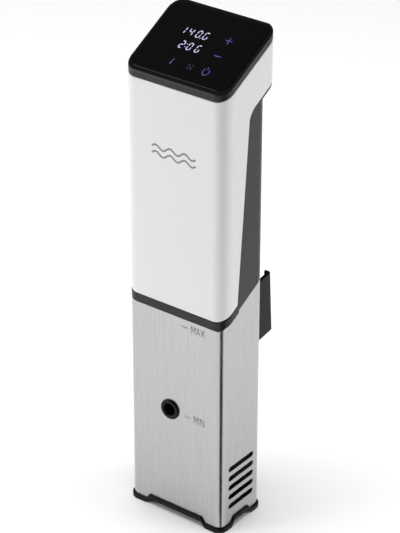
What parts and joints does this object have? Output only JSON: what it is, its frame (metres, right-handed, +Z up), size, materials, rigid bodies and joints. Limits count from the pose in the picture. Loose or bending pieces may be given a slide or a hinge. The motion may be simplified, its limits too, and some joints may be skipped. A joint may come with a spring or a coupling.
{
  "type": "sous vide circulator",
  "caption": "Upright immersion circulator with a slanted touch panel, white head, pull-off steel sleeve over heater and pump, and a sprung clamp for a pot wall.",
  "frame": {"origin": "on the ground plane under the middle of the steel sleeve, where the four feet stand", "axes": "+Z up along the body, +Y towards the clamp at the back, +X to the right seen from the front"},
  "size_m": [0.08, 0.0723, 0.3516],
  "materials": {
    "white_plastic": "satin-gloss moulded ABS, white",
    "dark_plastic": "fine-textured moulded plastic, dark grey",
    "black_trim": "satin moulded plastic, near black",
    "panel_glass": "back-printed black glass touch panel, polished",
    "sleeve_steel": "satin stainless steel sheet",
    "bright_steel": "turned or drawn stainless steel",
    "seal_rubber": "moulded silicone rubber",
    "circuit_board": "green solder mask on glass-fibre board",
    "component_black": "moulded component bodies",
    "motor_winding": "lacquered copper winding on a laminated core",
    "magnet": "sintered magnet with a steel core",
    "heat_sink_metal": "extruded aluminium, plain",
    "diffuser": "white moulded light box",
    "terminal_plastic": "moulded terminal block",
    "bearing_bronze": "sintered bronze"
  },
  "bodies": {
    "sleeve": {"steel_sleeve": "sleeve_steel", "base_trim": "black_trim", "intake_grille": "black_trim", "outlet_grommet": "black_trim"},
    "head": {"front_shell": "white_plastic", "rear_grip": "dark_plastic", "head_base": "dark_plastic", "sleeve_seal": "seal_rubber", "top_bezel": "dark_plastic", "glass_gasket": "seal_rubber", "touch_glass": "panel_glass", "display_board": "circuit_board", "display_module": "diffuser", "touch_springs": "seal_rubber", "board_screws": "bright_steel", "buzzer": "component_black", "power_board": "circuit_board", "board_posts": "dark_plastic", "power_screws": "bright_steel", "transformer": "component_black", "capacitors": "component_black", "heat_sink": "heat_sink_metal", "terminal_block": "terminal_plastic", "cord_gland": "dark_plastic", "gland_nut": "dark_plastic", "bulkhead_plate": "bright_steel", "bulkhead_gasket": "seal_rubber", "plate_screws": "bright_steel", "motor_standoffs": "bright_steel", "motor_mount": "bright_steel", "mount_screws": "bright_steel", "motor_case": "bright_steel", "motor_screws": "bright_steel", "motor_stator": "motor_winding", "motor_bearings": "bearing_bronze", "shaft_seal": "seal_rubber", "support_tube": "bright_steel", "pump_housing": "dark_plastic", "pump_bush": "bearing_bronze", "pump_cover": "dark_plastic", "heater": "bright_steel", "heater_nuts": "bearing_bronze", "temperature_probe": "bright_steel", "level_probes": "bright_steel", "probe_bushes": "diffuser", "clamp_bracket": "black_trim", "bracket_screws": "bright_steel", "clamp_pin": "bright_steel", "clamp_spring": "bright_steel"},
    "pump": {"drive_shaft": "bright_steel", "motor_rotor": "magnet", "impeller": "white_plastic"},
    "clamp": {"clamp_lever": "black_trim", "jaw_pad": "seal_rubber"}
  },
  "joints": [
    {"name": "head_lift", "type": "slide", "parent": "sleeve", "child": "head", "axis": [0, 0, 1], "range_m": [0, 0.165]},
    {"name": "pump_spin", "type": "hinge", "parent": "head", "child": "pump", "pos_m": [0.008, 0, 0.15], "axis": [0, 0, 1], "continuous": true},
    {"name": "clamp_open", "type": "hinge", "parent": "head", "child": "clamp", "pos_m": [0, 0.031, 0.153], "axis": [1, 0, 0], "range_deg": [0, 25], "stiffness_Nm_per_rad": 0.4, "springref_deg": -28.65, "deforming": ["clamp_spring"]}
  ]
}
